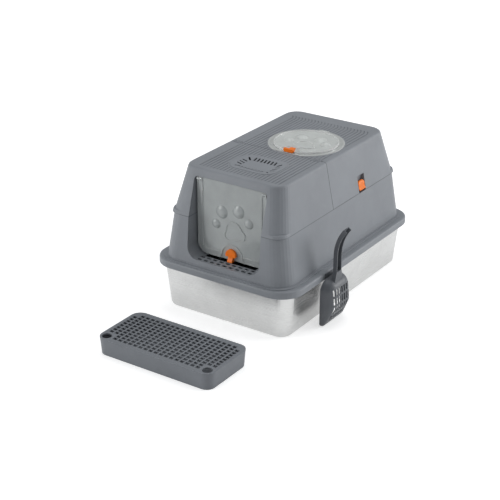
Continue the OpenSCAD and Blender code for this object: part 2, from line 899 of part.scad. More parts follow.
// Rear half of the hood, which lifts on the top hinge
module rear_hood() {
    low = seam_z + seat_gap;
    near = barrel_l / 2 + run_gap;
    color(grey)
        difference() {
            union() {
                difference() {
                    union() {
                        hood_form(0, low);
                        band_form(low);
                    }
                    hood_form(wall_t, seam_z - overrun);
                }
                intersection() {
                    hood_form(0, low);
                    union() {
                        latch_tub(1);
                        latch_tub(-1);
                    }
                }
                for (s = [-1, 1])
                    translate([s * barrel_x, split_y, top_z])
                        rod_x(2 * barrel_r, -barrel_l / 2, barrel_l / 2);
            }
            difference() {
                translate([-seam_w, split_y + split_gap / 2 - seam_l, seam_z - overrun])
                    cube([2 * seam_w, seam_l, 2 * hood_h]);
                for (s = [-1, 1])
                    translate([s * barrel_x, split_y, top_z])
                        rod_x(2 * barrel_r, -barrel_l / 2, barrel_l / 2);
            }
            for (s = [-1, 1]) {
                latch_room(s);
                for (t = [-1, 1])
                    barrel_room(s * barrel_x + t * (near + ear_l / 2), ear_l / 2 + run_gap);
            }
            translate([hatch_x, hatch_y, top_z - wall_t - overrun])
                cylinder(r = collar_bore_r + sleeve_t + seat_gap, h = wall_t + 2 * overrun, $fn = round_fn);
            top_grooves();
            hood_pin_bores();
            tab_pin_form(tab_pin_d + 2 * pin_gap, tab_w / 2 + tab_side_gap + wall_t + overrun);
        }
}

module hood_hinge_pins() {
    half = barrel_l / 2 + run_gap + ear_l;
    color(steel)
        for (s = [-1, 1])
            translate([s * barrel_x, split_y, top_z])
                rod_x(hood_pin_d, -half, half);
}

// Side latch, drawn for the right side and mirrored for the left: a tab with round upper corners
// and a flared lip, on a barrel round its pin
module side_latch() {
    t = tab_t;
    h = tab_h;
    f = tab_flare;
    outline = [[-t / 2, t / 2], [-t / 2, -h * 0.3], [t * 0.2, -h * 0.42], [t * 0.2, -h * 0.8], [f * 0.6, -h],
        [f, -h], [f * 1.1, -h * 0.88], [f * 0.8, -h * 0.72], [f * 0.68, -h * 0.5], [f * 0.62, -h * 0.2],
        [t * 0.9, t * 0.4], [t * 0.5, t * 0.8], [0, t * 0.8]];
    color(orange)
        translate([tab_pivot_x, latch_y, tab_pivot_z])
            difference() {
                union() {
                    intersection() {
                        stand(-tab_w / 2, tab_w / 2)
                            polygon(outline);
                        stand_x(-t, 2 * f)
                            panel(0, tab_w, -h, t * 0.8, t / 2, tab_r);
                    }
                    rod_y(t * 1.6, tab_r - tab_w / 2, tab_w / 2 - tab_r);
                }
                rod_y(tab_pin_d + 2 * pin_gap, -tab_w, tab_w);
            }
}

module side_latch_right() {
    side_latch();
}

module side_latch_left() {
    mirror([1, 0, 0])
        side_latch();
}

module side_latch_pins() {
    color(steel)
        tab_pin_form(tab_pin_d, tab_w / 2 + tab_side_gap + wall_t);
}

// Generic paw that stands on a panel's front face at height 0: a pad with a raised line round it
// and four domed toes. w is the pad's width.
module paw(w) {
    toe_place_shares = [[-0.76, 0.34], [-0.39, 0.81], [0.39, 0.81], [0.76, 0.34]];
    toe_size_shares = [0.40, 0.53, 0.53, 0.40];
    rotate(paw_tilt) {
        difference() {
            translate([0, 0, -flap_t / 2])
                linear_extrude(flap_t / 2 + emboss)
                    paw_pad(w);
            translate([0, 0, emboss / 3])
                linear_extrude(emboss)
                    scale(0.86)
                        paw_pad(w);
        }
        for (i = [0 : 3])
            translate(toe_place_shares[i] * w)
                dome(toe_size_shares[i] * w, toe_h);
    }
}

module paw_pad(w) {
    side_r = w * 0.22;
    translate([0, w * 0.03])
        circle(d = w * 0.78, $fn = round_fn);
    translate([side_r - w / 2, -w * 0.36])
        square([w - 2 * side_r, side_r]);
    for (s = [-1, 1])
        translate([s * (w / 2 - side_r), side_r - w * 0.36])
            circle(r = side_r, $fn = round_fn);
}

// Ball's cap of width d and height h
module dome(d, h) {
    ball_r = (d * d / 4 + h * h) / (2 * h);
    intersection() {
        translate([0, 0, h - ball_r])
            sphere(r = ball_r, $fn = round_fn);
        translate([0, 0, -flap_t / 2])
            cylinder(d = d + emboss, h = h + flap_t, $fn = round_fn);
    }
}

// Arch of bead over a slide latch, open below, with feet that splay out by foot
module bead_arch(foot) {
    difference() {
        circle(r = arch_r, $fn = round_fn);
        circle(r = arch_r - bead_w, $fn = round_fn);
        translate([-arch_r - overrun, -2 * arch_r])
            square([2 * arch_r + 2 * overrun, 2 * arch_r]);
    }
    splay = foot * 0.7;
    for (s = [-1, 1])
        mirror([s > 0 ? 0 : 1, 0])
            polygon([[arch_r - bead_w, 0], [arch_r, 0], [arch_r + splay, -foot],
                [arch_r + splay - bead_w, -foot]]);
}

// Neck through a panel and the plate behind it. The panel's front is at height 0, the neck starts at low
// and ends at the height high, and the plate starts at back_low.
module slide_hold(low, back_low, high) {
    depth = flap_t + run_gap;
    translate([-slide_neck_w / 2, low, -depth - slide_back_t / 2])
        cube([slide_neck_w, slide_neck_l, depth + slide_back_t / 2 + high]);
    translate([-slide_back_w / 2, back_low, -depth - slide_back_t])
        cube([slide_back_w, slide_back_l, slide_back_t]);
}

module slide_slot(low, travel) {
    translate([-slide_neck_w / 2 - run_gap, low - run_gap, -flap_t - overrun])
        cube([slide_neck_w + 2 * run_gap, slide_neck_l + travel + 2 * run_gap, flap_t + 2 * overrun]);
}

// Places of the two slide latches: the flat lower side of the flap latch's head, and the disc's front edge
module on_flap() {
    translate([door_x, flap_face, flap_latch_z])
        rotate([90, 0, 0])
            children();
}

module on_disc() {
    translate([hatch_x, hatch_y - hatch_r, disc_top])
        children();
}

// Clear front flap
module flap_outline(inset) {
    panel(door_x, flap_w - 2 * inset, flap_bottom + inset, flap_top - inset, flap_r - inset,
        max(flap_top_r - inset, flap_top_r / 2));
}

// Raised line inside the flap's edge, open at the top
module flap_line(inset) {
    over = flap_top + 3 * flap_top_r;
    intersection() {
        flap_outline(0);
        difference() {
            panel(door_x, flap_w - 2 * inset, flap_bottom + inset, over, flap_r - inset, flap_top_r);
            panel(door_x, flap_w - 2 * (inset + bead_w), flap_bottom + inset + bead_w, over,
                flap_r - inset - bead_w, flap_top_r);
        }
    }
}

module front_flap() {
    arch_z = flap_bottom + bead_inset - bead_w;
    color(clear)
        difference() {
            union() {
                stand(-flap_y - flap_t / 2, -flap_y + flap_t / 2)
                    flap_outline(0);
                stand(flap_face - emboss / 2, -flap_y)
                    difference() {
                        flap_line(0);
                        translate([door_x, arch_z])
                            circle(r = arch_r - bead_w / 2, $fn = round_fn);
                    }
                stand(flap_face - emboss, -flap_y) {
                    difference() {
                        flap_line(bead_inset);
                        translate([door_x, arch_z])
                            circle(r = arch_r - bead_w / 2, $fn = round_fn);
                    }
                    translate([door_x, arch_z])
                        bead_arch(bead_inset - bead_w);
                }
                translate([door_x + paw_x, flap_face, sill_z + paw_up])
                    rotate([90, 0, 0])
                        paw(paw_w);
                translate([door_x, -flap_y, flap_z])
                    for (s = [-1, 1])
                        rod_x(flap_boss_d, s > 0 ? flap_w / 2 - flap_boss_l : -flap_w / 2,
                            s > 0 ? flap_w / 2 : flap_boss_l - flap_w / 2);
            }
            translate([door_x, -flap_y, flap_z])
                for (s = [-1, 1])
                    translate([s * flap_w / 2, 0, 0])
                        rod_x(flap_pin_d + 2 * pin_gap, -flap_boss_l - overrun, flap_boss_l + overrun);
            on_flap()
                slide_slot(0, slide_travel);
        }
}

// Pins from the tunnel's walls into the flap's bosses, with a head outside the wall
module flap_hinge_pins() {
    head_t = wall_t / 2;
    color(clear)
        translate([door_x, -flap_y, flap_z])
            for (s = [-1, 1])
                mirror([s > 0 ? 0 : 1, 0, 0]) {
                    rod_x(flap_pin_d, flap_w / 2 - flap_boss_l, door_w / 2 + wall_t + head_t);
                    rod_x(flap_boss_d * 0.8, door_w / 2 + wall_t, door_w / 2 + wall_t + head_t);
                }
}

// Flap latch: a half round head with a lip under it and a tail that flares out above the sill
module flap_latch() {
    tail = [[0, run_gap], [-slide_tail_l, run_gap], [-slide_tail_l, run_gap + slide_tail_t],
        [-slide_tail_l * 0.85, run_gap + slide_tail_t], [-slide_tail_l * 0.4, run_gap + slide_t * 1.1],
        [0, run_gap + slide_t]];
    color(orange)
        on_flap() {
            translate([0, 0, run_gap])
                linear_extrude(slide_t)
                    difference() {
                        circle(d = slide_w, $fn = round_fn);
                        translate([-slide_w, -2 * slide_w])
                            square([2 * slide_w, 2 * slide_w]);
                    }
            translate([0, -slide_lip * 0.3, run_gap])
                linear_extrude(slide_t * 1.15)
                    rounded(slide_w, slide_lip, slide_lip * 0.4, $fn = hull_fn);
            stand_x(-slide_tail_w / 2, slide_tail_w / 2)
                polygon(tail);
            slide_hold(0, -(slide_back_l - slide_neck_l) / 2, slide_t / 2);
        }
}

// Collar round the hatch, cut flat where the hood splits
module hatch_collar() {
    r0 = collar_bore_r;
    profile = [[r0, -sleeve_h], [r0 + sleeve_t, -sleeve_h], [r0 + sleeve_t, 0], [collar_r, 0],
        [collar_r, collar_h * 0.7], [collar_r - collar_h, collar_h], [hatch_r + collar_h, collar_t],
        [r0, collar_t]];
    lug_far = hatch_barrel_l / 2 + run_gap + hatch_lug_l;
    color(clear)
        difference() {
            union() {
                translate([hatch_x, hatch_y, top_z])
                    rotate_extrude($fn = round_fn)
                        polygon(profile);
                for (s = [-1, 1])
                    translate([hatch_x, hinge_y, hinge_z]) {
                        x0 = s > 0 ? hatch_barrel_l / 2 + run_gap : -lug_far;
                        rod_x(2 * hatch_barrel_r, x0, x0 + hatch_lug_l);
                        translate([x0, -hatch_barrel_r, top_z - hinge_z])
                            cube([hatch_lug_l, 2 * hatch_barrel_r, hinge_z - top_z]);
                    }
            }
            translate([hatch_x - 2 * collar_r, split_y + split_gap - 2 * collar_r, top_z - 2 * sleeve_h])
                cube([4 * collar_r, 2 * collar_r, 4 * sleeve_h]);
            translate([hatch_x, hinge_y, hinge_z])
                rod_x(hatch_pin_d + 2 * pin_gap, -lug_far - overrun, lug_far + overrun);
        }
}

// Clear hatch disc with its bead, paw and hinge barrel
module hatch_disc() {
    color(clear)
        difference() {
            union() {
                translate([hatch_x, hatch_y, disc_z])
                    cylinder(r = hatch_r, h = flap_t, $fn = 2 * round_fn);
                translate([hatch_x, hatch_y, disc_z + flap_t / 2])
                    linear_extrude(emboss + flap_t / 2) {
                        difference() {
                            circle(r = hatch_r, $fn = 2 * round_fn);
                            circle(r = hatch_r - bead_w, $fn = 2 * round_fn);
                            translate([0, -hatch_r])
                                circle(r = arch_r - bead_w / 2, $fn = round_fn);
                        }
                        intersection() {
                            circle(r = hatch_r, $fn = 2 * round_fn);
                            translate([0, -hatch_r])
                                bead_arch(bead_w);
                        }
                    }
                translate([hatch_x, hatch_y, disc_top])
                    translate([hatch_r * hatch_paw_x_share, -hatch_r * hatch_paw_y_share])
                        paw(hatch_r * hatch_paw_share);
                translate([hatch_x, hinge_y, hinge_z]) {
                    rod_x(2 * hatch_barrel_r, -hatch_barrel_l / 2, hatch_barrel_l / 2);
                    translate([-hatch_barrel_l / 2, -3 * hatch_barrel_r, -hatch_barrel_r])
                        cube([hatch_barrel_l, 3 * hatch_barrel_r, flap_t]);
                }
            }
            translate([hatch_x, hinge_y, hinge_z])
                rod_x(hatch_pin_d + 2 * pin_gap, -hatch_barrel_l, hatch_barrel_l);
            on_disc() {
                slide_slot(bar_neck, bar_travel);
                translate([-slide_w / 2 - run_gap, -overrun, -2 * flap_t])
                    cube([slide_w + 2 * run_gap, bar_travel + overrun, 4 * flap_t]);
            }
        }
}

module hatch_hinge_pin() {
    half = hatch_barrel_l / 2 + run_gap + hatch_lug_l;
    color(steel)
        translate([hatch_x, hinge_y, hinge_z])
            rod_x(hatch_pin_d, -half, half);
}

// Hatch latch: a bar with a lip over the collar in front of the disc, and a thin tongue back to its neck
module hatch_latch() {
    back = bar_l - bar_reach;
    tongue = bar_neck + slide_neck_l + bar_travel;
    color(orange)
        on_disc() {
            translate([0, back - bar_l / 2, run_gap])
                linear_extrude(bar_t)
                    rounded(slide_w, bar_l, bar_l / 4, $fn = hull_fn);
            translate([-slide_w / 2 + bar_l / 4, -bar_reach, -flap_t + run_gap])
                cube([slide_w - bar_l / 2, bar_reach - run_gap, flap_t + bar_t / 2]);
            translate([-slide_back_w / 2, 0, run_gap])
                cube([slide_back_w, tongue, bar_t * 0.4]);
            slide_hold(bar_neck, bar_neck, run_gap + bar_t * 0.2);
        }
}

// Vent cover: a plate with a dish in it, and slots round the dish's slope
module vent_cover() {
    color(grey)
        translate([vent_x, -vent_y, top_z - vent_sink])
            difference() {
                union() {
                    linear_extrude(vent_t)
                        rounded(vent_w, vent_l, vent_r, $fn = round_fn);
                    vent_slope(-vent_t * 0.8, vent_t * 0.2);
                }
                vent_slope(0, vent_t + overrun / 4);
                translate([0, 0, -vent_dish - overrun])
                    linear_extrude(vent_dish + vent_t + 2 * overrun)
                        vent_slots();
            }
}

// Form of the dish, moved up by lift, with its rim at the height high
module vent_slope(lift, high) {
    w = slot_ring_w - 2 * slot_l;
    l = slot_ring_l - 2 * slot_l;
    wide = (high - vent_t - lift) * slot_l / vent_dish + slot_w / 4;
    hull() {
        slice(w, l, slot_ring_r - slot_l, vent_t - vent_dish + lift);
        slice(slot_ring_w + 2 * wide, slot_ring_l + 2 * wide, slot_ring_r + wide, high);
    }
}

// Slots across the straight sides of their ring, and one across each corner
module vent_slots() {
    across = slot_ring_w - 2 * slot_ring_r;
    along = slot_ring_l - 2 * slot_ring_r;
    for (s = [-1, 1]) {
        for (i = [0 : slot_side_count - 1])
            translate([across * ((i + 0.5) / slot_side_count - 0.5), s * along / 2])
                rotate(90 * s)
                    vent_slot();
        for (i = [0 : slot_end_count - 1])
            translate([s * across / 2, along * ((i + 0.5) / slot_end_count - 0.5)])
                rotate(90 - 90 * s)
                    vent_slot();
        for (t = [-1, 1])
            translate([s * across / 2, t * along / 2])
                rotate(90 - 90 * s + 45 * s * t)
                    vent_slot();
    }
}

// One slot, pointing out along +X, with its far end on the ring
module vent_slot() {
    c = slot_w / 4;
    near = slot_ring_r - slot_l;
    far = slot_ring_r;
    w = slot_w / 2;
    polygon([[near, c - w], [near + c, -w], [far - c, -w], [far, c - w],
        [far, w - c], [far - c, w], [near + c, w], [near, w - c]]);
}

// Tray under the hood that holds the filter
module filter_tray() {
    w = vent_hole_w + 2 * filter_tray_t;
    l = vent_hole_l + 2 * filter_tray_t;
    r = vent_hole_r;
    color(dark_grey)
        translate([vent_x, -vent_y, filter_tray_z])
            difference() {
                linear_extrude(filter_tray_h)
                    rounded(w, l, r + filter_tray_t, $fn = round_fn);
                translate([0, 0, filter_tray_t])
                    linear_extrude(filter_tray_h)
                        rounded(vent_hole_w, vent_hole_l, r, $fn = round_fn);
                for (i = [-2 : 2])
                    translate([i * vent_hole_w / 7 - slot_w / 2, -vent_hole_l * 0.36, -overrun])
                        cube([slot_w, vent_hole_l * 0.72, filter_tray_t + 2 * overrun]);
            }
}

module charcoal_filter() {
    color(charcoal)
        translate([vent_x, -vent_y, filter_tray_z + filter_tray_t + seat_gap])
            linear_extrude(filter_t)
                rounded(vent_hole_w - 2 * filter_gap, vent_hole_l - 2 * filter_gap,
                    vent_hole_r - filter_gap, $fn = round_fn);
}

// Two balls inside the bowl's form, at height z, that reach out as far as reach
module bowl_balls(r, z, reach, inset) {
    for (s = [-1, 1])
        translate([scoop_x + reach - r, -scoop_y + s * (scoop_w / 2 - r), scoop_lift + z])
            sphere(r = r - inset, $fn = hull_fn);
}

// The scoop's bowl: one rounded form through three pairs of balls, cut off at its open side
module bowl_form(inset) {
    intersection() {
        hull() {
            bowl_balls(shoulder_r, scoop_l - shoulder_r, scoop_d * 0.94, inset);
            bowl_balls(belly_r, scoop_l * 0.45, scoop_d, inset);
            bowl_balls(tip_r, tip_r, scoop_d * 0.36, inset);
        }
        translate([scoop_x - (inset > 0 ? overrun : 0), -scoop_y - scoop_w, -overrun])
            cube([2 * scoop_d, 2 * scoop_w, 2 * scoop_l]);
    }
}

// Slots of the scoop: three full rows and one at the shoulder that leaves the handle's root solid
module sift_slots() {
    row_place_shares = [0.11, 0.30, 0.49, 0.68];
    row_height_shares = [0.14, 0.15, 0.15, 0.14];
    for (r = [0 : 3], i = [0 : sift_count - 1]) {
        u = i - (sift_count - 1) / 2;
        translate([scoop_x + scoop_d * 0.3, u * sift_pitch - scoop_y - sift_w / 2,
            scoop_lift + scoop_l * row_place_shares[r]])
            cube([scoop_d, sift_w, scoop_l * row_height_shares[r]]);
    }
}

// Handle seen from the side: straight up from inside the bowl, then curving out
module handle_side(near, far) {
    translate([handle_x - near, scoop_top - handle_root])
        square([near + far, handle_root + handle_straight]);
    translate([handle_x + handle_bend_r, handle_turn_z])
        difference() {
            circle(r = handle_bend_r + near, $fn = 2 * round_fn);
            circle(r = handle_bend_r - far, $fn = 2 * round_fn);
            translate([-2 * handle_bend_r, -2 * handle_bend_r])
                square([4 * handle_bend_r, 2 * handle_bend_r]);
            rotate(-handle_bend)
                translate([-2 * handle_bend_r, 0])
                    square([4 * handle_bend_r, 4 * handle_bend_r]);
        }
}

// Flared root of the handle, seen from behind
module handle_flare() {
    w = handle_w;
    h = handle_root;
    translate([-scoop_y, scoop_top])
        polygon([[-w, -h], [w, -h], [w * 0.7, 0], [w / 2, h], [-w / 2, h], [-w * 0.7, 0]]);
}

module litter_scoop() {
    half = handle_d / 2;
    color(dark_grey)
        difference() {
            union() {
                difference() {
                    union() {
                        bowl_form(0);
                        stand(-scoop_y - handle_w / 2, -scoop_y + handle_w / 2)
                            handle_side(half, half);
                        stand_x(handle_x - half, handle_x + half)
                            handle_flare();
                    }
                    bowl_form(scoop_t);
                    sift_slots();
                }
                translate([scoop_x, -scoop_y - scoop_w / 5, scoop_top - scoop_t - rim_hook])
                    cube([scoop_t, scoop_w * 0.4, rim_hook + scoop_t / 2]);
            }
            difference() {
                stand(-scoop_y - handle_w / 2 + scoop_t, -scoop_y + handle_w / 2 - scoop_t)
                    handle_side(half - scoop_t, half + overrun);
                translate([scoop_x, -scoop_y - handle_w, scoop_lift])
                    cube([2 * scoop_d, 2 * handle_w, scoop_l + handle_root]);
            }
        }
}

// Bracket that hooks into the flange's side and carries the scoop by its rim
module scoop_bracket() {
    tip_x = scoop_x + scoop_d * 0.36;
    tongue_top = scoop_top - scoop_t - rim_hook - seat_gap;
    hook_top = scoop_top - 2 * scoop_t - 2 * seat_gap;
    inner_x = flange_w / 2 - wall_t - seat_gap;
    w = bracket_w / 4;
    color(dark_grey)
        translate([0, -scoop_y - bracket_w / 2, 0]) {
            translate([hook_x, 0, tongue_top - bracket_t])
                cube([bracket_t, bracket_w, prong_z + prong_h + bracket_t / 2 - tongue_top + bracket_t]);
            translate([hook_x, 0, tongue_top - bracket_t])
                cube([tip_x - hook_x, bracket_w, bracket_t]);
            translate([tip_x - bracket_t, 0, tongue_top - bracket_t])
                cube([bracket_t, bracket_w, hook_top - tongue_top + bracket_t]);
        }
    color(dark_grey) {
        prongs(0);
        for (s = [-1, 1])
            translate([inner_x - bracket_t, -scoop_y + s * 1.5 * w - w / 2, prong_z - prong_h])
                cube([bracket_t, w, 2 * prong_h]);
    }
}

// Litter step: an open tray and the grille that lies on it
module step_tray() {
    color(dark_grey)
        translate([step_x, -step_y, 0])
            difference() {
                step_form(0, 0, grille_z);
                step_form(step_t, step_t, grille_z + overrun);
            }
}

module step_form(inset, low, high) {
    hull() {
        step_slice(inset, low);
        step_slice(inset, high - film);
    }
}

module step_slice(inset, z) {
    narrow = step_draft * (1 - z / step_h) + inset;
    slice(step_w - 2 * narrow, step_l - 2 * narrow, step_r - narrow, z);
}

module step_grille() {
    hole_x = cell_pitch_x - grille_bar_x;
    hole_y = cell_pitch_y - grille_bar_y;
    margin = step_r * 0.28;
    across = floor((step_w - 2 * margin) / cell_pitch_x);
    along = floor((step_l - 2 * margin) / cell_pitch_y);
    fx = step_w / 2 - finger_inset;
    fy = step_l / 2 - finger_inset;
    clear_r = finger_d / 2 + grille_bar_x;
    color(dark_grey)
        translate([step_x, -step_y, grille_z])
            linear_extrude(grille_t)
                difference() {
                    rounded(step_w, step_l, step_r, $fn = round_fn);
                    for (s = [-1, 1])
                        translate([s * fx, -fy])
                            circle(d = finger_d, $fn = round_fn);
                    for (i = [0 : across - 1], j = [0 : along - 1]) {
                        x = (i - (across - 1) / 2) * cell_pitch_x;
                        y = (j - (along - 1) / 2) * cell_pitch_y;
                        near_x = max(abs(abs(x) - fx) - hole_x / 2, 0);
                        near_y = max(abs(y + fy) - hole_y / 2, 0);
                        corner = abs(x) > step_w / 2 - step_r && y > step_l / 2 - step_r;
                        if (norm([near_x, near_y]) > clear_r && !corner)
                            translate([x, y])
                                square([hole_x, hole_y], center = true);
                    }
                }
}

steel_pan();
lower_frame();
front_hood();
rear_hood();
hood_hinge_pins();
side_latch_right();
side_latch_left();
side_latch_pins();
front_flap();
flap_hinge_pins();
flap_latch();
hatch_collar();
hatch_disc();
hatch_hinge_pin();
hatch_latch();
vent_cover();
filter_tray();
charcoal_filter();
litter_scoop();
scoop_bracket();
step_tray();
step_grille();
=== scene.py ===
"""Looks for the enclosed litter box.

A grey moulded hood on a steel pan, with a clear flap and hatch, a hung scoop and a loose step.
"""

import math

import bpy
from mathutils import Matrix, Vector


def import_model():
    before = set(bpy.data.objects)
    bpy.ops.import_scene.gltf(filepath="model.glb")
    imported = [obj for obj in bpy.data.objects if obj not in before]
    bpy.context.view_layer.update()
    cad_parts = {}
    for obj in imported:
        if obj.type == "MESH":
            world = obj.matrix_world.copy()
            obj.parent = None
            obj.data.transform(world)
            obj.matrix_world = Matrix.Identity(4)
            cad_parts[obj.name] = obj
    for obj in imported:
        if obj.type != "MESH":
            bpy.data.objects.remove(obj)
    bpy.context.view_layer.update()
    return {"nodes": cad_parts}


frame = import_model()
NODES = frame["nodes"]

MM = 0.001

# Camera, as fitted to the photograph's straight edges
CAMERA_AZIMUTH = math.radians(34.09)
CAMERA_ELEVATION = math.radians(24.68)
CAMERA_TARGET = Vector((-125.14, 22.25, 43.63)) * MM
CAMERA_DISTANCE = 3503.06 * MM
CAMERA_LENS = 97.2
CAMERA_SENSOR = 36.0
CAMERA_REACH = 50  # the far end of what it shows, in metres

# Colours, as sRGB shares
GREY = (0.535, 0.550, 0.572)
STEP_GREY = (0.472, 0.487, 0.509)
DARK_GREY = (0.365, 0.378, 0.398)
INNER_GREY = (0.30, 0.31, 0.32)
ORANGE = (1.0, 0.49, 0.085)
STEEL = (0.800, 0.802, 0.800)
PIN_STEEL = (0.72, 0.72, 0.73)
CLEAR = (0.86, 0.88, 0.88)
MILKY = (0.93, 0.945, 0.935)
CHARCOAL = (0.12, 0.12, 0.12)

# Colours of the stage, as linear numbers with alpha
WHITE = (1.0, 1.0, 1.0, 1.0)
FLOOR_COLOUR = (0.8, 0.8, 0.8, 1.0)
WORLD_COLOUR = (0.96, 0.98, 1.0, 1.0)

# Parting lines: an axis, the place and half width in metres, and the share of colour that is left
SEAM_LINE = ("Z", 249 * MM, 0.8 * MM, 0.55)
SPLIT_LINE = ("Y", -45 * MM, 0.8 * MM, 0.5)
LINE_FADE = (0.5, 1.5)  # from full to none, as shares of the half width

# Painted shade in the floors of the grooves in the hood's top: lowest and highest height, and the
# share that is left
HOOD_TOP = 364 * MM
GROOVE_PAINTED_SHADE = (HOOD_TOP - 1.1 * MM, HOOD_TOP - 0.4 * MM, 0.78)
GROOVE_FADE = 0.1 * MM
LEVEL = (0.97, 0.99)  # how far a surface has to look up to count as level

# Ranges of a noise factor that are spread over a look's whole range
MIDDLE = (0.3, 0.7)  # holds most of its values
PATCHES = (0.35, 0.7)
FLECKS = (0.35, 0.75)

# Clear plastic
PLASTIC_IOR = 1.46
SHEET_EDGE_HIGHLIGHT = (0.35, 0.8)  # how far a cut edge and a sheet's face look along the sheet's axis, between which the painted highlight fades

# Bevels
SOFT_ANGLE = math.radians(40)
SOFT_SEGMENTS = 2

# Stage, in metres and watts
FLOOR_SIZE = 12.0
FLOOR_DROP = 0.2 * MM
FLOOR_FADE = (1.6, 4.0)  # distances between which the glow grows
FLOOR_GLOW = (0.55, 0.80)
WORLD_LEVEL = 0.37
LAMP_AIM = Vector((0, 0, 0.2))
LAMPS = (
    # name, place, size, power
    ("key_right", (2.9, 2.5, 1.4), 2.0, 78),
    ("fill_front", (-2.5, -2.7, 1.5), 2.0, 52),
    ("top", (-0.2, 0.6, 3.6), 2.4, 33),
)


def linear(colour):
    """An sRGB colour as linear numbers, with alpha."""
    return tuple(
        c / 12.92 if c <= 0.04045 else ((c + 0.055) / 1.055) ** 2.4 for c in colour
    ) + (1.0,)


def shade(colour, share):
    """An sRGB colour times a share, as linear numbers with alpha."""
    return linear(tuple(min(1.0, c * share) for c in colour))


class Nodes:
    """Short calls that add and join the nodes of a material or a world."""

    def __init__(self, owner, output="ShaderNodeOutputMaterial"):
        owner.use_nodes = True
        self.owner = owner
        self.tree = owner.node_tree
        self.tree.nodes.clear()
        self.output = self.add(output)

    def feed(self, target, value):
        """Joins an input to another node's output, or sets it to a plain value."""
        if isinstance(value, bpy.types.NodeSocket):
            self.tree.links.new(value, target)
        else:
            target.default_value = value

    def add(self, kind, operation=None, **inputs):
        """A node with inputs fed by name, with _ for each space."""
        node = self.tree.nodes.new(kind)
        if operation:
            node.operation = operation
        for key, value in inputs.items():
            self.feed(node.inputs[key.replace("_", " ")], value)
        return node

    def join_pair(self, kind, first, second, **inputs):
        """The output of a node that mixes or adds two shaders."""
        node = self.add(kind, **inputs)
        pair = [i for i in node.inputs if i.type == "SHADER"]
        self.feed(pair[0], first)
        self.feed(pair[1], second)
        return node.outputs[0]

    def show(self, surface):
        """Makes a shader what the material or world shows."""
        self.feed(self.output.inputs["Surface"], surface)
        return self.owner

    def position(self, scale=(1, 1, 1)):
        """The point on the object, at rest, stretched by scale."""
        at = self.add("ShaderNodeTexCoord").outputs["Object"]
        return self.add("ShaderNodeMapping", Vector=at, Scale=scale).outputs["Vector"]

    def split(self, vector):
        """The parts of a vector, by the axis's letter."""
        return self.add("ShaderNodeSeparateXYZ", Vector=vector).outputs

    def facing(self, axis):
        """How far the surface looks along one of the object's axes."""
        return self.split(self.add("ShaderNodeTexCoord").outputs["Normal"])[axis]

    def calc(self, operation, *values):
        """One step of arithmetic on outputs and plain numbers."""
        node = self.add("ShaderNodeMath", operation)
        for target, value in zip(node.inputs, values):
            self.feed(target, value)
        return node.outputs[0]

    def noise(self, vector, scale, detail=2.0, roughness=0.55):
        """A noise factor between 0 and 1. A higher scale has finer spots."""
        node = self.add(
            "ShaderNodeTexNoise", Vector=vector, Scale=scale, Detail=detail, Roughness=roughness
        )
        return node.outputs["Fac"]

    def spread(self, source, span, result=(0, 1)):
        """A factor moved from one range to another, and held inside it."""
        node = self.add(
            "ShaderNodeMapRange",
            Value=source,
            From_Min=span[0],
            From_Max=span[1],
            To_Min=result[0],
            To_Max=result[1],
        )
        return node.outputs["Result"]

    def mix_colour(self, factor, first, second):
        """A colour between two others."""
        node = self.add("ShaderNodeMix")
        node.data_type = "RGBA"
        self.feed(node.inputs["Factor"], factor)
        colours = {i.identifier: i for i in node.inputs}
        self.feed(colours["A_Color"], first)
        self.feed(colours["B_Color"], second)
        return next(o for o in node.outputs if o.identifier == "Result_Color")

    def darken(self, colour, factor, share):
        """A colour output that goes down to a share of itself where the factor is 1."""
        dark = self.add("ShaderNodeVectorMath", "SCALE", Vector=colour, Scale=share)
        return self.mix_colour(factor, colour, dark.outputs["Vector"])

    def bump(self, height, strength, distance, **under):
        """A normal roughened by a height, over another normal if one is given."""
        node = self.add(
            "ShaderNodeBump", Height=height, Strength=strength, Distance=distance, **under
        )
        return node.outputs["Normal"]

    def dressed(self, **inputs):
        """The finished material, with one principled shader."""
        return self.show(self.add("ShaderNodeBsdfPrincipled", **inputs).outputs["BSDF"])


def new_material(name):
    """The nodes of a material that holds nothing yet."""
    return Nodes(bpy.data.materials.new(name))


def shade_lines(n, base, lines):
    """Darkens thin lines where the object crosses a plane, as the shade in a parting line does."""
    at = n.split(n.position())
    for axis, place, half_width, share in lines:
        away = n.calc("ABSOLUTE", n.calc("SUBTRACT", at[axis], place))
        fade = tuple(half_width * edge for edge in LINE_FADE)
        base = n.darken(base, n.spread(away, fade, (1, 0)), share)
    return base


def paint_groove_shade(n, base, low, high, share):
    """Paints shade on the level surfaces that lie between two heights, the floors of the grooves.
    """
    height = n.split(n.position())["Z"]
    level = n.spread(n.facing("Z"), LEVEL)
    above = n.spread(height, (low - GROOVE_FADE, low + GROOVE_FADE))
    below = n.spread(height, (high - GROOVE_FADE, high + GROOVE_FADE), (1, 0))
    return n.darken(base, n.calc("MULTIPLY", n.calc("MULTIPLY", level, above), below), share)


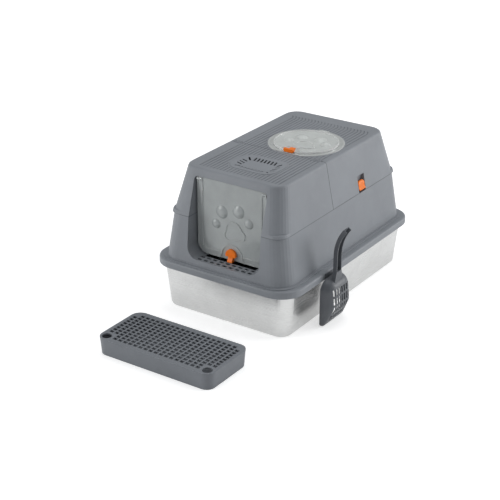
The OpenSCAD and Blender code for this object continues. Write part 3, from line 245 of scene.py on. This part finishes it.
def moulded_plastic(name, colour, roughness=0.5, lines=(), groove_shade=None):
    """Spark-textured plastic: fine grain, slow colour drift, dust in patches and rubbed spots."""
    n = new_material(name)
    at = n.position()
    drift = n.spread(n.noise(at, 9.0, detail=4.0), MIDDLE)
    dust = n.spread(n.noise(at, 60.0, detail=5.0, roughness=0.7), (0.55, 0.8), (0, 0.35))
    base = n.mix_colour(drift, shade(colour, 0.97), shade(colour, 1.03))
    base = n.mix_colour(dust, base, shade(colour, 1.08))
    if lines:
        base = shade_lines(n, base, lines)
    # painted shade in the floors of the grooves
    if groove_shade:
        base = paint_groove_shade(n, base, *groove_shade)
    rubbed = n.noise(at, 25.0, detail=4.0)
    scuffs = n.spread(n.noise(n.position((40, 400, 400)), 1.0), (0.62, 0.75))
    grain = n.bump(n.noise(at, 1500.0), 0.10, 0.15 * MM)
    return n.dressed(
        Base_Color=base,
        Specular_IOR_Level=0.45,
        Roughness=n.spread(rubbed, MIDDLE, (roughness - 0.05, roughness + 0.05)),
        Normal=n.bump(scuffs, 0.04, 0.1 * MM, Normal=grain),
    )


def pressed_steel(name, colour):
    """Pressed stainless steel: brush lines that run round the pan, soft waves and smudges."""
    n = new_material(name)
    brushed = n.noise(n.position((6, 6, 900)), 1.0, detail=3.0, roughness=0.7)
    waves = n.noise(n.position((7, 7, 3)), 1.0, detail=1.0)
    smudges = n.spread(n.noise(n.position(), 22.0, detail=5.0, roughness=0.65), FLECKS)
    return n.dressed(
        Base_Color=n.mix_colour(smudges, linear(colour), shade(colour, 0.95)),
        Metallic=1.0,
        Anisotropic=0.3,
        Roughness=n.spread(brushed, MIDDLE, (0.22, 0.30)),
        Normal=n.bump(waves, 0.05, 1.0 * MM, Normal=n.bump(brushed, 0.05, 0.05 * MM)),
    )


def drawn_steel(name, colour):
    """Drawn pin stock: faint lines along X, the way that all but the side latches' pins lie."""
    n = new_material(name)
    lines = n.noise(n.position((10, 3000, 3000)), 1.0)
    return n.dressed(
        Base_Color=n.mix_colour(lines, shade(colour, 0.85), linear(colour)),
        Metallic=1.0,
        Roughness=n.spread(lines, MIDDLE, (0.22, 0.4)),
        Normal=n.bump(lines, 0.1, 0.05 * MM),
    )


def clear_plastic(name, colour, haze, roughness, sheet_axis=None):
    """Clear moulded plastic: haze in the body, flow waves and fine scratches.

    A sheet gets a painted highlight on its cut edges and bead sides, partly their frosted look,
    and its axis is the one that its faces look along.
    """
    n = new_material(name)
    at = n.position()
    clouds = n.spread(n.noise(at, 30.0, detail=4.0), PATCHES)
    tint = n.mix_colour(clouds, linear(colour), shade(colour, 0.95))
    if sheet_axis:
        # Painted highlight, partly a frosted look: faces that turn across the sheet go pale
        edge_highlight = n.calc("ABSOLUTE", n.facing(sheet_axis))
        tint = n.mix_colour(n.spread(edge_highlight, SHEET_EDGE_HIGHLIGHT, (1, 0)), tint, WHITE)
    scratches = n.noise(n.position((90, 90, 1200)), 1.0)
    return n.dressed(
        Base_Color=tint,
        IOR=PLASTIC_IOR,
        Transmission_Weight=1.0 - haze,
        Roughness=n.spread(scratches, (0.45, 0.8), (roughness, roughness + 0.14)),
        Normal=n.bump(n.noise(at, 14.0), 0.05, 2.0 * MM),
    )


def coloured_plastic(name, colour):
    """Smooth plastic of the latches: low gloss, slight flow marks and finger wear."""
    n = new_material(name)
    at = n.position()
    drift = n.spread(n.noise(at, 60.0, detail=4.0), MIDDLE)
    worn = n.noise(at, 150.0, detail=4.0)
    return n.dressed(
        Base_Color=n.mix_colour(drift, shade(colour, 0.95), shade(colour, 1.04)),
        Specular_IOR_Level=0.35,
        Roughness=n.spread(worn, PATCHES, (0.36, 0.50)),
        Normal=n.bump(n.noise(at, 900.0), 0.05, 0.1 * MM),
    )


def felted_pad(name, colour):
    """Charcoal filter: felted fibres with pale flecks."""
    n = new_material(name)
    fibres = n.noise(n.position(), 800.0, detail=6.0, roughness=0.75)
    return n.dressed(
        Base_Color=n.mix_colour(n.spread(fibres, FLECKS), shade(colour, 0.7), shade(colour, 1.5)),
        Roughness=0.95,
        Sheen_Weight=0.2,
        Normal=n.bump(fibres, 0.5, 0.6 * MM),
    )


def dress(material, *names):
    """Gives CAD nodes a material."""
    for name in names:
        slots = NODES[name].data.materials
        slots.clear()
        slots.append(material)


dress(
    moulded_plastic("hood_plastic", GREY, lines=(SEAM_LINE, SPLIT_LINE), groove_shade=GROOVE_PAINTED_SHADE),
    "front_hood",
    "rear_hood",
)
dress(moulded_plastic("frame_plastic", GREY, lines=(SEAM_LINE,)), "lower_frame")
dress(moulded_plastic("grey_plastic", GREY), "vent_cover")
dress(moulded_plastic("step_plastic", STEP_GREY, roughness=0.55), "step_tray", "step_grille")
dress(moulded_plastic("dark_plastic", DARK_GREY, roughness=0.42), "litter_scoop", "scoop_bracket")
dress(moulded_plastic("inner_plastic", INNER_GREY), "filter_tray")
dress(felted_pad("charcoal", CHARCOAL), "charcoal_filter")
dress(pressed_steel("steel", STEEL), "steel_pan")
dress(
    drawn_steel("pin_steel", PIN_STEEL),
    "hood_hinge_pins",
    "side_latch_pins",
    "hatch_hinge_pin",
)
dress(
    coloured_plastic("orange_plastic", ORANGE),
    "side_latch_right",
    "side_latch_left",
    "flap_latch",
    "hatch_latch",
)
dress(clear_plastic("flap_plastic", CLEAR, 0.50, 0.05, sheet_axis="Y"), "front_flap")
dress(clear_plastic("clear_plastic", CLEAR, 0.42, 0.05), "flap_hinge_pins")
dress(clear_plastic("collar_plastic", MILKY, 0.60, 0.08, sheet_axis="Z"), "hatch_collar")
dress(clear_plastic("milky_plastic", MILKY, 0.66, 0.10, sheet_axis="Z"), "hatch_disc")


# Mouldings whose edges are plainly rounded in the photograph, and how wide each edge is
SOFT_EDGES = {
    "front_flap": 0.35 * MM,
    "hatch_disc": 0.35 * MM,
    "hatch_collar": 0.5 * MM,
    "side_latch_right": 0.6 * MM,
    "side_latch_left": 0.6 * MM,
    "flap_latch": 0.6 * MM,
    "hatch_latch": 0.6 * MM,
    "vent_cover": 0.4 * MM,
    "litter_scoop": 0.4 * MM,
    "step_tray": 0.8 * MM,
}
for moulding, edge_width in SOFT_EDGES.items():
    bevel = NODES[moulding].modifiers.new("soft_edges", "BEVEL")
    bevel.width = edge_width
    bevel.segments = SOFT_SEGMENTS
    bevel.limit_method = "ANGLE"
    bevel.angle_limit = SOFT_ANGLE
    bevel.use_clamp_overlap = True
    bevel.harden_normals = True


def floor():
    """White floor that keeps the object's shadow.

    It glows to the camera, metal and glass, more so far off, where the lamps hardly reach.
    """
    bpy.ops.mesh.primitive_plane_add(size=FLOOR_SIZE, location=(0, 0, -FLOOR_DROP))
    plane = bpy.context.object
    plane.name = "floor"
    n = new_material("floor")
    away = n.add("ShaderNodeVectorMath", "LENGTH", Vector=n.position()).outputs["Value"]
    glow = n.add(
        "ShaderNodeEmission", Color=WHITE, Strength=n.spread(away, FLOOR_FADE, FLOOR_GLOW)
    )
    dark = n.add("ShaderNodeEmission", Strength=0.0)
    ray = n.add("ShaderNodeLightPath").outputs
    seen = n.calc("MAXIMUM", ray["Is Camera Ray"], ray["Is Transmission Ray"])
    seen = n.calc("MAXIMUM", seen, ray["Is Glossy Ray"])
    shown = n.join_pair("ShaderNodeMixShader", dark.outputs[0], glow.outputs[0], Fac=seen)
    matt = n.add("ShaderNodeBsdfDiffuse", Color=FLOOR_COLOUR)
    total = n.join_pair("ShaderNodeAddShader", matt.outputs[0], shown)
    plane.data.materials.append(n.show(total))


def world():
    """Even studio surround: white to the camera, a plain level to everything else."""
    n = Nodes(bpy.data.worlds.new("studio"), "ShaderNodeOutputWorld")
    level = n.add("ShaderNodeBackground", Color=WORLD_COLOUR, Strength=WORLD_LEVEL)
    white = n.add("ShaderNodeBackground", Color=WHITE, Strength=1.0)
    seen = n.add("ShaderNodeLightPath").outputs["Is Camera Ray"]
    bpy.context.scene.world = n.show(
        n.join_pair("ShaderNodeMixShader", level.outputs[0], white.outputs[0], Fac=seen)
    )


def soft_light(name, place, size, power):
    """Square lamp that faces the middle of the object."""
    data = bpy.data.lights.new(name, "AREA")
    data.shape = "SQUARE"
    data.size = size
    data.energy = power
    lamp = bpy.data.objects.new(name, data)
    bpy.context.scene.collection.objects.link(lamp)
    lamp.location = place
    lamp.rotation_euler = (LAMP_AIM - Vector(place)).to_track_quat("-Z", "Y").to_euler()


def camera():
    """The photograph's view."""
    toward = Vector((
        math.sin(CAMERA_AZIMUTH) * math.cos(CAMERA_ELEVATION),
        -math.cos(CAMERA_AZIMUTH) * math.cos(CAMERA_ELEVATION),
        math.sin(CAMERA_ELEVATION),
    ))
    data = bpy.data.cameras.new("camera")
    data.sensor_width = CAMERA_SENSOR
    data.lens = CAMERA_LENS
    data.clip_end = CAMERA_REACH
    view = bpy.data.objects.new("camera", data)
    bpy.context.scene.collection.objects.link(view)
    view.location = CAMERA_TARGET + toward * CAMERA_DISTANCE
    view.rotation_euler = toward.to_track_quat("Z", "Y").to_euler()
    bpy.context.scene.camera = view


floor()
world()
for lamp_facts in LAMPS:
    soft_light(*lamp_facts)
camera()
bpy.context.scene.view_settings.view_transform = "Standard"
